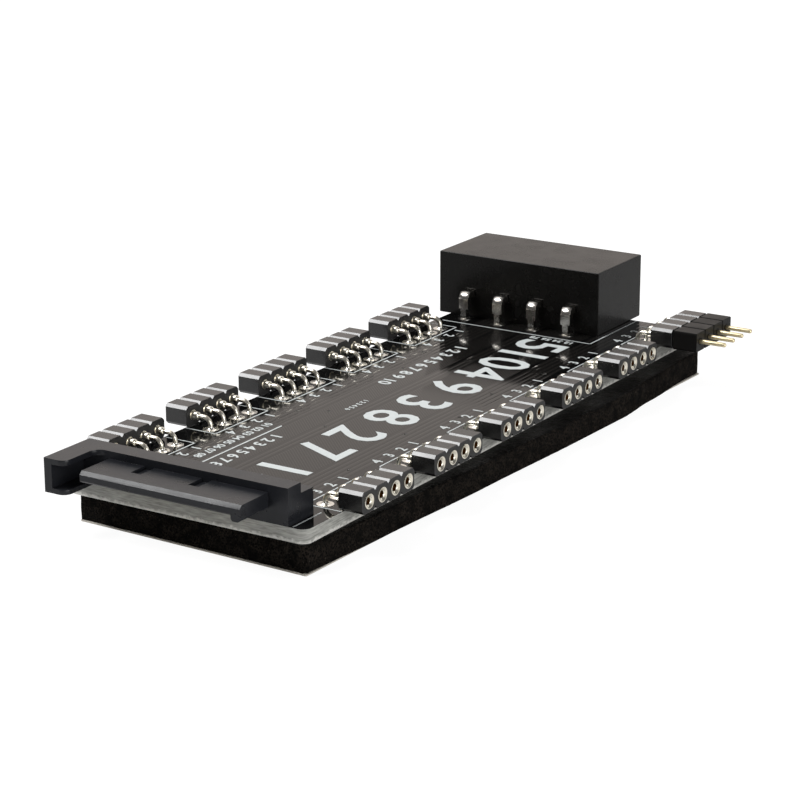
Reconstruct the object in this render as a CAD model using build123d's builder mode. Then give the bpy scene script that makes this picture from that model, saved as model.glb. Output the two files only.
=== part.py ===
from build123d import *
import os

os.makedirs("parts", exist_ok=True)

# Circuit board, centred on the frame's Z axis, long side along Y
board_length = 89.5
board_width = 31.0
board_thickness = 1.6
board_corner_radius = 1.1

# Foam pad and its release liner, stuck on a little askew
liner_thickness = 0.15
pad_thickness = 3.0
pad_end_inset = 1.5
pad_side_inset = 0.45
pad_corner_radius = 0.15
pad_skew_degrees = -1.65
pad_shift_x = 2.0
pad_shift_y = -1.54

# Output and input socket strips
socket_pitch = 2.54
sockets_per_strip = 4
strips_per_side = 5
near_strip_inset = 11.63
input_strip_inset = 6.47
strip_height = 2.44
strip_depth = 3.0
strip_chamfer = 0.35
strip_clearance = 0.1
output_overhang = 2.6
input_overhang = 2.6
input_lift = 0.45

# Socket contacts: mouth ring, round bore, six-sided press-fit barrel, square bent tail
contact_head_radius = 0.84
contact_head_thickness = 0.1
contact_head_sides = 12
contact_bore_radius = 0.42
contact_bore_sides = 10
contact_bore_depth = 2.3
contact_barrel_radius = 0.6
contact_barrel_sides = 6
contact_shoulder = 0.9
contact_fit_clearance = 0.03
tail_width = 0.46
tail_bend = 0.75
tail_inset = 2.85
tail_hole_clearance = 0.06

# Input adapter: a short block with pins on both sides
adapter_depth = 3.2
adapter_height = 2.44
adapter_chamfer = 0.18
adapter_gap = 0.1
adapter_pin_radius = 0.28
adapter_pin_length = 3.5
adapter_plug_radius = 0.28
adapter_plug_length = 1.9
adapter_collar_radius = 0.5
adapter_collar_sides = 6
adapter_collar_clearance = 0.03

# Four-way power header
header_width = 23.8
header_depth = 12.1
header_height = 8.35
header_side_overhang = 1.75
header_overhang = 2.5
header_rear_wall = 1.6
header_floor = 0.6
header_cavity_width = 21.0
header_cavity_height = 6.6
header_key_chamfer = 1.9
header_pin_pitch = 5.08
header_pin_count = 4
header_pin_row_shift = 0.5
header_pin_radius = 1.05
header_pin_length = 6.2
header_tail_width = 1.36
header_tail_thickness = 0.8
header_tail_reach = 1.4
header_tail_bend_radius = 0.6
header_foot_width = 0.8
header_foot_height = 1.4
header_hole_clearance = 0.08
header_slot_clearance = 0.05

# Slim fifteen-way power plug
plug_side_inset = 2.15
plug_width = 27.55
plug_height = 4.15
plug_ledge_depth = 2.35
plug_step_depth = 2.25
plug_step_height = 3.0
arm_length = 5.3
arm_width = 2.85
arm_lift = 0.3
arm_side_wall = 1.0
arm_top_wall = 0.62
arm_floor_wall = 0.55
arm_corner_radius = 1.0
arm_root_radius = 1.2
tongue_width = 20.57
tongue_side_inset = 2.45
tongue_length = 5.0
tongue_thickness = 1.23
tongue_top = 3.3
tongue_top_chamfer = 0.4
tongue_lip_chamfer = 0.2
key_width = 1.15
key_drop = 0.57
key_corner_radius = 0.35
relief_width = 1.3
relief_length = 2.4
relief_depth = 0.35
relief_offsets = (4.75, 12.2)

# Slim plug's flat contacts, with leads that stand on the board behind it
blade_count = 15
blade_pitch = 1.27
blade_width = 0.6
blade_thickness = 0.2
blade_setback = 0.6
blade_slot_clearance = 0.04
lead_reach = 0.6
lead_foot_length = 1.5

# Heights and places that follow from the sizes above
pad_bottom = liner_thickness
pad_length = board_length - 2 * pad_end_inset
pad_width = board_width - 2 * pad_side_inset
board_bottom = pad_bottom + pad_thickness
board_top = board_bottom + board_thickness
board_side_x = board_width / 2
board_near_y = -board_length / 2
board_far_y = board_length / 2
output_axis_z = board_top + strip_clearance + strip_height / 2
input_axis_z = output_axis_z + input_lift
input_center_y = board_far_y - input_strip_inset
strip_spacing = (input_center_y - board_near_y - near_strip_inset) / strips_per_side
strip_centers_y = [
    board_near_y + near_strip_inset + strip_spacing * index for index in range(strips_per_side)
]
tail_drop_x = board_side_x - tail_inset
tail_hole_width = tail_width + 2 * tail_hole_clearance
header_center_x = header_width / 2 - board_side_x - header_side_overhang
header_rear_y = board_far_y + header_overhang - header_depth
header_mouth_y = board_far_y + header_overhang
header_cavity_center_z = board_top + header_floor + header_cavity_height / 2
header_pin_center_x = header_center_x + header_pin_row_shift
header_tail_z = header_cavity_center_z - header_pin_radius + header_tail_thickness / 2
header_pin_xs = [
    header_pin_center_x + header_pin_pitch * (index - (header_pin_count - 1) / 2)
    for index in range(header_pin_count)
]
header_drop_y = header_rear_y - header_tail_reach
header_hole_width = header_foot_width + 2 * header_hole_clearance
header_hole_depth = header_tail_thickness + 2 * header_hole_clearance


def outward_plane(side, distance, y, z):
    """A plane that faces away from the board, at a distance from its middle."""
    return Plane(origin=(side * distance, y, z), x_dir=(0, side, 0), z_dir=(side, 0, 0))


def socket_ys(center_y):
    """The places of a strip's sockets along the board."""
    first = center_y - socket_pitch * (sockets_per_strip - 1) / 2
    return [first + socket_pitch * index for index in range(sockets_per_strip)]


# Circuit board
with BuildPart() as circuit_board:
    with BuildSketch(Plane.XY.offset(board_bottom)):
        RectangleRounded(board_width, board_length, board_corner_radius)
        for side in (-1, 1):
            for center_y in strip_centers_y:
                with Locations([(side * tail_drop_x, y) for y in socket_ys(center_y)]):
                    Rectangle(tail_hole_width, tail_hole_width, mode=Mode.SUBTRACT)
        with Locations([(tail_drop_x, y) for y in socket_ys(input_center_y)]):
            Rectangle(tail_hole_width, tail_hole_width, mode=Mode.SUBTRACT)
        with Locations([(x, header_drop_y) for x in header_pin_xs]):
            Rectangle(header_hole_width, header_hole_depth, mode=Mode.SUBTRACT)
    extrude(amount=board_thickness)
circuit_board.part.label = "circuit_board"
export_step(circuit_board.part, "parts/circuit_board.step")

# Foam pad and release liner
for pad_name, pad_base, layer_thickness in (
    ("release_liner", 0.0, liner_thickness),
    ("foam_pad", pad_bottom, pad_thickness),
):
    with BuildPart() as pad_layer:
        with BuildSketch(Plane.XY.offset(pad_base)):
            with Locations(Location((pad_shift_x, pad_shift_y, 0), (0, 0, pad_skew_degrees))):
                RectangleRounded(pad_width, pad_length, pad_corner_radius)
        extrude(amount=layer_thickness)
    pad_layer.part.label = pad_name
    export_step(pad_layer.part, f"parts/{pad_name}.step")

# Outline of one moulded cell of a strip
with BuildSketch() as output_cell:
    Rectangle(socket_pitch, strip_height)
    chamfer(output_cell.vertices(), strip_chamfer)

with BuildSketch() as adapter_cell:
    Rectangle(socket_pitch, adapter_height)
    chamfer(adapter_cell.vertices(), adapter_chamfer)


def make_strip(name, side, center_y, axis_z, overhang):
    """A moulded block of four cells with a contact seat through each cell."""
    inner_x = board_side_x + overhang - strip_depth
    with BuildPart() as strip:
        with BuildSketch(outward_plane(side, inner_x, center_y, axis_z)):
            with GridLocations(socket_pitch, 0, sockets_per_strip, 1):
                add(output_cell.sketch)
                RegularPolygon(
                    contact_barrel_radius + contact_fit_clearance,
                    contact_barrel_sides,
                    mode=Mode.SUBTRACT,
                )
        extrude(amount=strip_depth)
    strip.part.label = name
    export_step(strip.part, f"parts/{name}.step")
    return strip.part


def make_contacts(name, side, center_y, axis_z, overhang, round_bores):
    """Four contacts: mouth ring, bored barrel, and a tail bent down through the board.

    The first bores along the board are round, the rest have flat sides, to keep faces few.
    """
    face_x = board_side_x + overhang
    inner_x = face_x - strip_depth
    shoulder_x = inner_x - contact_shoulder
    with BuildPart() as contacts:
        with BuildSketch(outward_plane(side, shoulder_x, center_y, axis_z)):
            with GridLocations(socket_pitch, 0, sockets_per_strip, 1):
                RegularPolygon(contact_barrel_radius, contact_barrel_sides)
        extrude(amount=face_x - shoulder_x)
        with BuildSketch(outward_plane(side, face_x, center_y, axis_z)):
            with GridLocations(socket_pitch, 0, sockets_per_strip, 1):
                RegularPolygon(contact_head_radius, contact_head_sides)
        extrude(amount=contact_head_thickness)
        for index, y in enumerate(socket_ys(center_y)):
            with BuildSketch(outward_plane(side, face_x + contact_head_thickness, y, axis_z)):
                if index < round_bores:
                    Circle(contact_bore_radius)
                else:
                    RegularPolygon(contact_bore_radius, contact_bore_sides)
            extrude(amount=-contact_bore_depth, mode=Mode.SUBTRACT)
        for y in socket_ys(center_y):
            with BuildLine(Plane(origin=(0, y, 0), x_dir=(1, 0, 0), z_dir=(0, -1, 0))) as route:
                Polyline(
                    (side * shoulder_x, axis_z),
                    (side * (tail_drop_x + tail_bend), axis_z),
                    (side * tail_drop_x, axis_z - tail_bend),
                    (side * tail_drop_x, board_bottom),
                )
            with BuildSketch(outward_plane(side, shoulder_x, y, axis_z)):
                Rectangle(tail_width, tail_width)
            sweep(path=route.line, transition=Transition.RIGHT)
    contacts.part.label = name
    export_step(contacts.part, f"parts/{name}.step")
    return contacts.part


# Ten output strips: numbers 1 to 5 on the left side, 6 to 10 on the right
for side_index, side in enumerate((-1, 1)):
    for row_index, center_y in enumerate(strip_centers_y):
        number = side_index * strips_per_side + row_index + 1
        make_strip(f"output_strip_{number}", side, center_y, output_axis_z, output_overhang)
        make_contacts(
            f"output_contacts_{number}", side, center_y, output_axis_z, output_overhang, round_bores=1
        )

# Input strip at the far end of the right side
make_strip("input_strip", 1, input_center_y, input_axis_z, input_overhang)
make_contacts("input_contacts", 1, input_center_y, input_axis_z, input_overhang, round_bores=0)

# Adapter block plugged against the input strip's contact rings
adapter_inner_x = board_side_x + input_overhang + contact_head_thickness + adapter_gap
adapter_outer_x = adapter_inner_x + adapter_depth
with BuildPart() as adapter_body:
    with BuildSketch(outward_plane(1, adapter_inner_x, input_center_y, input_axis_z)):
        with GridLocations(socket_pitch, 0, sockets_per_strip, 1):
            add(adapter_cell.sketch)
            RegularPolygon(
                adapter_collar_radius + adapter_collar_clearance,
                adapter_collar_sides,
                mode=Mode.SUBTRACT,
            )
    extrude(amount=adapter_depth)
adapter_body.part.label = "adapter_body"
export_step(adapter_body.part, "parts/adapter_body.step")

# Adapter pins: a collar through each cell, a plug end in the socket's bore, a free end outside
with BuildPart() as adapter_pins:
    with BuildSketch(outward_plane(1, adapter_inner_x, input_center_y, input_axis_z)):
        with GridLocations(socket_pitch, 0, sockets_per_strip, 1):
            RegularPolygon(adapter_collar_radius, adapter_collar_sides)
    extrude(amount=adapter_depth)
    with BuildSketch(outward_plane(1, adapter_inner_x, input_center_y, input_axis_z)):
        with GridLocations(socket_pitch, 0, sockets_per_strip, 1):
            RegularPolygon(adapter_plug_radius, adapter_collar_sides)
    extrude(amount=-adapter_plug_length)
    with BuildSketch(outward_plane(1, adapter_outer_x, input_center_y, input_axis_z)):
        with GridLocations(socket_pitch, 0, sockets_per_strip, 1):
            Circle(adapter_pin_radius)
    extrude(amount=adapter_pin_length)
adapter_pins.part.label = "adapter_pins"
export_step(adapter_pins.part, "parts/adapter_pins.step")

# Power header: a shroud open at the far end, with two bevelled key corners
rear_plane = Plane(origin=(header_center_x, header_rear_y, board_top), x_dir=(-1, 0, 0), z_dir=(0, 1, 0))
mouth_plane = Plane(
    origin=(header_center_x, header_mouth_y, header_cavity_center_z), x_dir=(-1, 0, 0), z_dir=(0, 1, 0)
)
with BuildPart() as power_header:
    with BuildSketch(rear_plane):
        Rectangle(header_width, header_height, align=(Align.CENTER, Align.MIN))
    extrude(amount=header_depth)
    with BuildSketch(mouth_plane) as cavity:
        Rectangle(header_cavity_width, header_cavity_height)
        chamfer(cavity.vertices().group_by(Axis.Z)[-1], header_key_chamfer)
    extrude(amount=-(header_depth - header_rear_wall), mode=Mode.SUBTRACT)
    with BuildSketch(Plane(origin=(0, header_rear_y, header_tail_z), x_dir=(1, 0, 0), z_dir=(0, 1, 0))):
        with Locations([(x, 0) for x in header_pin_xs]):
            Rectangle(
                header_tail_width + 2 * header_slot_clearance,
                header_tail_thickness + 2 * header_slot_clearance,
            )
    extrude(amount=header_rear_wall, mode=Mode.SUBTRACT)
power_header.part.label = "power_header"
export_step(power_header.part, "parts/power_header.step")

# Header pins: round in the shroud, flat through the rear wall, bent down into the board
for index, pin_x in enumerate(header_pin_xs):
    pin_root_y = header_rear_y + header_rear_wall
    with BuildPart() as header_pin:
        with BuildSketch(
            Plane(origin=(pin_x, pin_root_y, header_cavity_center_z), x_dir=(1, 0, 0), z_dir=(0, 1, 0))
        ):
            Circle(header_pin_radius)
        extrude(amount=header_pin_length)
        with BuildLine(Plane(origin=(pin_x, 0, 0), x_dir=(0, 1, 0), z_dir=(1, 0, 0))) as route:
            FilletPolyline(
                (pin_root_y, header_tail_z),
                (header_drop_y, header_tail_z),
                (header_drop_y, board_top + header_foot_height),
                radius=header_tail_bend_radius,
            )
        with BuildSketch(Plane(origin=(pin_x, pin_root_y, header_tail_z), x_dir=(1, 0, 0), z_dir=(0, -1, 0))):
            Rectangle(header_tail_width, header_tail_thickness)
        sweep(path=route.line)
        with BuildSketch(Plane.XY.offset(board_bottom)):
            with Locations((pin_x, header_drop_y)):
                Rectangle(header_foot_width, header_tail_thickness)
        extrude(amount=board_thickness + header_foot_height)
    header_pin.part.label = f"header_pin_{index + 1}"
    export_step(header_pin.part, f"parts/header_pin_{index + 1}.step")

# Slim power plug: L-shaped tongue, ledge, stepped back and guide arm
plug_right_x = board_side_x - plug_side_inset
plug_left_x = plug_right_x - plug_width
tongue_right_x = plug_right_x - tongue_side_inset
tongue_left_x = tongue_right_x - tongue_width
tongue_top_z = board_top + tongue_top
tongue_bottom_z = tongue_top_z - tongue_thickness
tongue_front_y = board_near_y - tongue_length
plug_rear_y = board_near_y + plug_ledge_depth + plug_step_depth
blade_center_x = (tongue_left_x + tongue_right_x - key_width) / 2
blade_xs = [blade_center_x + blade_pitch * (index - (blade_count - 1) / 2) for index in range(blade_count)]
blade_front_y = tongue_front_y + blade_setback
arm_bottom_z = board_top + arm_lift
arm_root = (plug_left_x + arm_width, board_near_y, arm_bottom_z)
with BuildPart() as slim_plug:
    with BuildSketch(Plane(origin=(0, board_near_y, 0), x_dir=(1, 0, 0), z_dir=(0, -1, 0))) as tongue_face:
        with Locations((tongue_right_x, tongue_top_z)):
            Rectangle(tongue_width, tongue_thickness, align=(Align.MAX, Align.MAX))
            Rectangle(key_width, tongue_thickness + key_drop, align=(Align.MAX, Align.MAX))
        fillet(tongue_face.vertices().group_by(Axis.Y)[0], key_corner_radius)
    extrude(amount=tongue_length)
    front_edges = slim_plug.faces().sort_by(Axis.Y)[0].edges().filter_by(Axis.X).sort_by(Axis.Z)
    chamfer(front_edges[-1], tongue_top_chamfer)
    lip_edges = slim_plug.faces().filter_by(Axis.Y).sort_by(Axis.Y)[0].edges().filter_by(Axis.X)
    chamfer(lip_edges.sort_by(SortBy.LENGTH)[-2:].sort_by(Axis.Z)[0], tongue_lip_chamfer)
    with BuildSketch(Plane.XY.offset(tongue_top_z)):
        with Locations([(tongue_left_x + offset, board_near_y) for offset in relief_offsets]):
            Rectangle(relief_width, relief_length, align=(Align.MIN, Align.MAX))
    extrude(amount=-relief_depth, mode=Mode.SUBTRACT)
    with BuildSketch(Plane.XY.offset(arm_bottom_z)) as arm_outline:
        with Locations((plug_left_x, board_near_y)):
            Rectangle(arm_width, arm_length, align=(Align.MIN, Align.MAX))
            Rectangle(plug_width, plug_ledge_depth, align=(Align.MIN, Align.MIN))
        fillet(arm_outline.vertices().group_by(Axis.Y)[0].sort_by(Axis.X)[-1], arm_corner_radius)
        fillet(arm_outline.vertices().sort_by_distance(arm_root)[0], arm_root_radius)
    extrude(amount=plug_height - arm_lift)
    with BuildSketch(Plane.XY.offset(arm_bottom_z + arm_floor_wall)):
        with Locations((plug_left_x + arm_side_wall, board_near_y)):
            Rectangle(
                arm_width - arm_side_wall + arm_root_radius, arm_length, align=(Align.MIN, Align.MAX)
            )
    extrude(amount=plug_height - arm_lift - arm_floor_wall - arm_top_wall, mode=Mode.SUBTRACT)
    with BuildSketch(Plane.XY.offset(board_top)):
        with Locations((plug_left_x, board_near_y)):
            Rectangle(plug_width, plug_ledge_depth + plug_step_depth, align=(Align.MIN, Align.MIN))
    extrude(amount=plug_step_height)
    with BuildSketch(Plane(origin=(0, blade_front_y, tongue_bottom_z), x_dir=(-1, 0, 0), z_dir=(0, 1, 0))):
        with Locations([(-x, 0) for x in blade_xs]):
            Rectangle(
                blade_width + 2 * blade_slot_clearance,
                2 * (blade_thickness + blade_slot_clearance),
            )
    extrude(amount=plug_rear_y - blade_front_y, mode=Mode.SUBTRACT)
slim_plug.part.label = "slim_plug"
export_step(slim_plug.part, "parts/slim_plug.step")

# Slim plug contacts: strips let into the tongue, through the body and down to feet on the board
lead_bend_y = plug_rear_y + lead_reach
with BuildPart() as plug_contacts:
    for blade_x in blade_xs:
        blade_side = Plane(origin=(blade_x, 0, 0), x_dir=(0, 1, 0), z_dir=(1, 0, 0))
        with BuildSketch(blade_side):
            with BuildLine():
                Polyline(
                    (blade_front_y, tongue_bottom_z),
                    (blade_front_y, tongue_bottom_z + blade_thickness),
                    (lead_bend_y, tongue_bottom_z + blade_thickness),
                    (lead_bend_y, board_top + blade_thickness),
                    (lead_bend_y + lead_foot_length, board_top + blade_thickness),
                    (lead_bend_y + lead_foot_length, board_top),
                    (lead_bend_y - blade_thickness, board_top),
                    (lead_bend_y - blade_thickness, tongue_bottom_z),
                    close=True,
                )
            make_face()
        extrude(amount=blade_width / 2, both=True)
plug_contacts.part.label = "plug_contacts"
export_step(plug_contacts.part, "parts/plug_contacts.step")
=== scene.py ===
"""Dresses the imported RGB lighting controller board.

It adds the turned contacts, solder, vias, print and foam, every finish, and a white studio.
"""

from __future__ import annotations

import logging
import math
from contextlib import contextmanager
from dataclasses import dataclass
from enum import Enum
from typing import Callable, Iterable, Iterator, Sequence

import bmesh
import bpy
from mathutils import Matrix, Vector, noise

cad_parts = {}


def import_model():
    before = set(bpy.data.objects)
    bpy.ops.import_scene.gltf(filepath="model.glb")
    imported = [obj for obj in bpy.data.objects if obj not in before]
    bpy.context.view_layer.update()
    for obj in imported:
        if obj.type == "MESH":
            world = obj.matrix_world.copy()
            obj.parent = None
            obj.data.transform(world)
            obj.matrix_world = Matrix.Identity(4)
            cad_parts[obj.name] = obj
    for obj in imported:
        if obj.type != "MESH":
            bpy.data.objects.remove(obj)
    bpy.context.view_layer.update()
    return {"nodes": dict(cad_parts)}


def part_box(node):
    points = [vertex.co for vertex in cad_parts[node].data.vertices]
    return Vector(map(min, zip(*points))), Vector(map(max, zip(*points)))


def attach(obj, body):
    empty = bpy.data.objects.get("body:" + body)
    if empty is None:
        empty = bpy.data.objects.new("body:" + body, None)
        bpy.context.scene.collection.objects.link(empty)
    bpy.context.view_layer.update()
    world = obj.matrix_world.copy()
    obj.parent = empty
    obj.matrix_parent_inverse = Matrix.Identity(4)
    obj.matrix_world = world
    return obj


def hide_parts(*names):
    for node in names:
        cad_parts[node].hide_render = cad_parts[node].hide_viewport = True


log = logging.getLogger("lighting_board")

MM = 0.001
BOARD_TOP = 4.75 * MM
BOARD_HALF_WIDTH = 15.5 * MM
SOCKET_PITCH = 2.54 * MM
SOCKETS_PER_STRIP = 4
ROWS_PER_SIDE = 5
HEADER_PINS = 4
TAIL_INSET = 2.85 * MM
FACING = 0.99  # the least part of a unit normal that counts as facing its axis
WHITE = (1.0, 1.0, 1.0)

Piece = bpy.types.Object
Material = bpy.types.Material
Node = bpy.types.Node
Socket = bpy.types.NodeSocket
Pair = tuple[float, float]
Triple = tuple[float, float, float]
Rule = tuple[str, float, float, float, float, float]
ShapeTest = Callable[[Vector, Vector], bool]


class Side(Enum):
    """The board's two long sides, by the direction that their sockets face."""

    LEFT = -1
    RIGHT = 1


BOX_DEPTHS = {Side.LEFT: 4.3 * MM, Side.RIGHT: 4.6 * MM}


# ---------------------------------------------------------------- modelling moves


def clear_selection() -> None:
    """Leaves edit mode and deselects every object."""
    if bpy.context.object and bpy.context.object.mode != "OBJECT":
        bpy.ops.object.mode_set(mode="OBJECT")
    bpy.ops.object.select_all(action="DESELECT")


def take(piece: Piece) -> None:
    """Selects one object alone and makes it active.

    Args:
        piece: the object to work on.
    """
    clear_selection()
    piece.select_set(True)
    bpy.context.view_layer.objects.active = piece


@contextmanager
def editing(piece: Piece) -> Iterator[None]:
    """Keeps one object in edit mode for as long as a with block lasts.

    Args:
        piece: the object whose mesh the block edits.
    """
    take(piece)
    bpy.ops.object.mode_set(mode="EDIT")
    yield
    bpy.ops.object.mode_set(mode="OBJECT")


def named_active(name: str) -> Piece:
    """Names the object that the last operator added, and applies its place to its mesh.

    Args:
        name: the new name.

    Returns:
        The object, at the origin, unturned and unscaled.
    """
    piece = bpy.context.object
    piece.name = name
    piece.data.name = name
    bpy.ops.object.transform_apply(location=True, rotation=True, scale=True)
    return piece


def add_box(name: str, low: Sequence[float], high: Sequence[float]) -> Piece:
    """Adds a box between two corners.

    Args:
        name: the object's name.
        low: the lowest corner, in metres.
        high: the highest corner, in metres.

    Returns:
        The box.
    """
    clear_selection()
    low_corner, high_corner = Vector(low), Vector(high)
    bpy.ops.mesh.primitive_cube_add(
        size=1.0, location=(low_corner + high_corner) / 2, scale=high_corner - low_corner
    )
    return named_active(name)


def add_rod(
    name: str, radius: float, start: Sequence[float], end: Sequence[float], sides: int = 32
) -> Piece:
    """Adds a closed cylinder between two points.

    Args:
        name: the object's name.
        radius: its radius, in metres.
        start: the middle of its first end.
        end: the middle of its other end.
        sides: how many flat sides it has.

    Returns:
        The cylinder.
    """
    clear_selection()
    first, last = Vector(start), Vector(end)
    run = last - first
    bpy.ops.mesh.primitive_cylinder_add(
        vertices=sides,
        radius=radius,
        depth=run.length,
        location=(first + last) / 2,
        rotation=run.to_track_quat("Z", "Y").to_euler(),
    )
    return named_active(name)


def pick_faces(piece: Piece, test: ShapeTest) -> None:
    """Selects, in edit mode, the faces whose centre and normal pass a test.

    Args:
        piece: the object in edit mode.
        test: a function of a face's centre and normal.
    """
    bpy.ops.mesh.select_mode(type="FACE")
    bpy.ops.mesh.select_all(action="DESELECT")
    mesh = bmesh.from_edit_mesh(piece.data)
    chosen = [face for face in mesh.faces if test(face.calc_center_median(), face.normal)]
    for face in chosen:
        face.select_set(True)
    bmesh.update_edit_mesh(piece.data)


def pick_edges(piece: Piece, test: ShapeTest) -> None:
    """Selects, in edit mode, the edges whose middle and direction pass a test.

    Args:
        piece: the object in edit mode.
        test: a function of an edge's middle and its unit direction.
    """
    bpy.ops.mesh.select_mode(type="EDGE")
    bpy.ops.mesh.select_all(action="DESELECT")
    mesh = bmesh.from_edit_mesh(piece.data)
    chosen = []
    for edge in mesh.edges:
        first, last = (vertex.co for vertex in edge.verts)
        if test((first + last) / 2, (last - first).normalized()):
            chosen.append(edge)
    for edge in chosen:
        edge.select_set(True)
    bmesh.update_edit_mesh(piece.data)


def pull_faces(shift: Sequence[float], scale: float, middle: Sequence[float]) -> None:
    """Extrudes the selected faces, then scales the new ones about a point.

    Args:
        shift: how far the new faces move.
        scale: the factor on their size, all ways.
        middle: the point that they are scaled about, before the shift.
    """
    bpy.ops.mesh.extrude_region_move(TRANSFORM_OT_translate={"value": tuple(shift)})
    if scale != 1.0:
        bpy.ops.transform.resize(
            value=(scale, scale, scale), center_override=tuple(Vector(middle) + Vector(shift))
        )


def paint_faces(piece: Piece, slot: int, test: ShapeTest) -> None:
    """Gives the faces that pass a test another material slot.

    Args:
        piece: the object, in object mode.
        slot: the number of its material slot.
        test: a function of a face's centre and normal.
    """
    for polygon in piece.data.polygons:
        if test(polygon.center, polygon.normal):
            polygon.material_index = slot


def dress(piece: Piece, *finishes: Material) -> Piece:
    """Replaces an object's materials.

    Args:
        piece: the object.
        finishes: its materials, in the order of its slots.

    Returns:
        The same object.
    """
    piece.data.materials.clear()
    for finish in finishes:
        piece.data.materials.append(finish)
    return piece


def join_pieces(pieces: Sequence[Piece], name: str) -> Piece:
    """Joins objects into the first one.

    Args:
        pieces: the objects, of which the first one stays.
        name: the joined object's name.

    Returns:
        The joined object.
    """
    take(pieces[0])
    for piece in pieces:
        piece.select_set(True)
    bpy.ops.object.join()
    pieces[0].name = name
    pieces[0].data.name = name
    return pieces[0]


def spread(pattern: Piece, name: str, places: Iterable[Matrix]) -> Piece:
    """Copies an object, each copy with its own mesh, and joins the copies.

    Args:
        pattern: the object to copy.
        name: the joined object's name.
        places: the matrix that each copy's mesh is moved by.

    Returns:
        The joined copies.
    """
    twins = []
    for index, place in enumerate(places):
        twin = pattern.copy()
        twin.data = pattern.data.copy()
        twin.name = f"{name}_{index}"
        twin.data.transform(place)
        bpy.context.scene.collection.objects.link(twin)
        twins.append(twin)
    return join_pieces(twins, name)


def on_board(places: Iterable[Pair]) -> Iterator[Matrix]:
    """Turns places across and along the board into moves onto its top."""
    return (Matrix.Translation((x, y, BOARD_TOP)) for x, y in places)


def smooth(piece: Piece, degrees: float) -> Piece:
    """Shades an object smooth, apart from its sharp edges.

    Args:
        piece: the object.
        degrees: the angle above which an edge stays sharp.

    Returns:
        The same object.
    """
    take(piece)
    bpy.ops.object.shade_smooth_by_angle(angle=math.radians(degrees))
    return piece


def turn_outwards(piece: Piece, weld_gap: float = 0.0005 * MM) -> Piece:
    """Merges an object's doubles and turns its faces outwards.

    Args:
        piece: the object.
        weld_gap: how far apart corners may be that are merged.

    Returns:
        The same object.
    """
    with editing(piece):
        bpy.ops.mesh.select_all(action="SELECT")
        bpy.ops.mesh.remove_doubles(threshold=weld_gap)
        bpy.ops.mesh.normals_make_consistent(inside=False)
    return piece


def report(piece: Piece, slot: str, *nodes: str) -> None:
    """Rides a finished piece on the board and says so.

    Args:
        piece: the finished piece.
        slot: not used.
        nodes: the frame's nodes that it stands for.
    """
    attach(piece, "root")
    if nodes:
        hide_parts(*nodes)
    log.info("%s: %d faces", piece.name, len(piece.data.polygons))


def soften_edges(
    node: Piece, width: float, weld_gap: float = 0.001 * MM, sharp_degrees: float = 28.0
) -> None:
    """Rounds the edges of one of the frame's nodes with modifiers.

    Args:
        node: the frame's node, whose own mesh stays as it is.
        width: the width of the rounding, in metres.
        weld_gap: how far apart corners may be that are welded first.
        sharp_degrees: the least angle between two faces whose edge is rounded.
    """
    weld = node.modifiers.new("weld", "WELD")
    weld.merge_threshold = weld_gap
    bevel = node.modifiers.new("edge_radius", "BEVEL")
    bevel.width = width
    bevel.segments = 2
    bevel.limit_method = "ANGLE"
    bevel.angle_limit = math.radians(sharp_degrees)
    bevel.harden_normals = True
    log.info("%s: edges rounded by %.2f mm", node.name, width / MM)


# ---------------------------------------------------------------- shading helpers


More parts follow.
